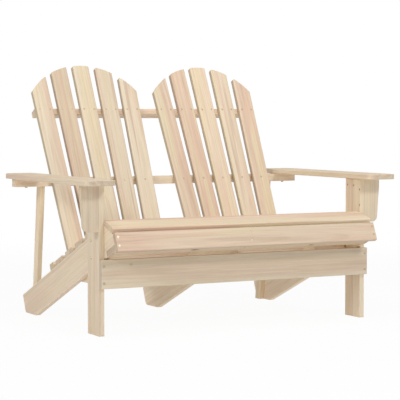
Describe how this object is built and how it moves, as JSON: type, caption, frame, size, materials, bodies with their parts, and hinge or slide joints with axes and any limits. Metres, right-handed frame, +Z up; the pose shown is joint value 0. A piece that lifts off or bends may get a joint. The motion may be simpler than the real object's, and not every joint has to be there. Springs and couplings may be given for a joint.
{
  "type": "adirondack loveseat",
  "caption": "Outdoor wooden bench for two with a sloping slatted seat, fan-shaped back panels with arched tops and wide flat armrests.",
  "frame": {"origin": "on the floor, under the middle of the bench's box", "axes": "+X to the right in a front view; +Y to the rear; +Z up"},
  "size_m": [1.275, 0.9426, 0.9645],
  "materials": {
    "fir_wood": "planed, unfinished, matt",
    "bolt_steel": "zinc plated, dull",
    "screw_steel": "dark coated, satin"
  },
  "bodies": {
    "root": {"front_leg_left": "fir_wood", "front_leg_right": "fir_wood", "stringer_left": "fir_wood", "stringer_middle": "fir_wood", "stringer_right": "fir_wood", "apron": "fir_wood", "apron_cleat_left": "fir_wood", "apron_cleat_right": "fir_wood", "seat_slat_1": "fir_wood", "seat_slat_2": "fir_wood", "seat_slat_3": "fir_wood", "seat_slat_4": "fir_wood", "seat_slat_5": "fir_wood", "seat_nose_top": "fir_wood", "seat_nose_front": "fir_wood", "seat_nose_under": "fir_wood", "back_slat_left_1": "fir_wood", "back_slat_left_2": "fir_wood", "back_slat_left_3": "fir_wood", "back_slat_left_4": "fir_wood", "back_slat_left_5": "fir_wood", "back_slat_right_1": "fir_wood", "back_slat_right_2": "fir_wood", "back_slat_right_3": "fir_wood", "back_slat_right_4": "fir_wood", "back_slat_right_5": "fir_wood", "upper_back_rail": "fir_wood", "arm_rail": "fir_wood", "back_bottom_rail": "fir_wood", "rear_post_left": "fir_wood", "rear_post_right": "fir_wood", "arm_bracket_left": "fir_wood", "arm_bracket_right": "fir_wood", "arm_cleat_left": "fir_wood", "arm_cleat_right": "fir_wood", "armrest_left": "fir_wood", "armrest_right": "fir_wood", "leg_bolt_left_lower": "bolt_steel", "leg_bolt_left_upper": "bolt_steel", "leg_bolt_right_lower": "bolt_steel", "leg_bolt_right_upper": "bolt_steel", "leg_nut_left_lower": "bolt_steel", "leg_nut_left_upper": "bolt_steel", "leg_nut_right_lower": "bolt_steel", "leg_nut_right_upper": "bolt_steel", "arm_screw_left": "bolt_steel", "arm_screw_right": "bolt_steel", "apron_screw_left_lower": "screw_steel", "apron_screw_left_upper": "screw_steel", "apron_screw_right_lower": "screw_steel", "apron_screw_right_upper": "screw_steel", "nose_screw_left_lower": "screw_steel", "nose_screw_left_upper": "screw_steel", "nose_screw_middle_lower": "screw_steel", "nose_screw_middle_upper": "screw_steel", "nose_screw_right_lower": "screw_steel", "nose_screw_right_upper": "screw_steel"}
  },
  "joints": []
}
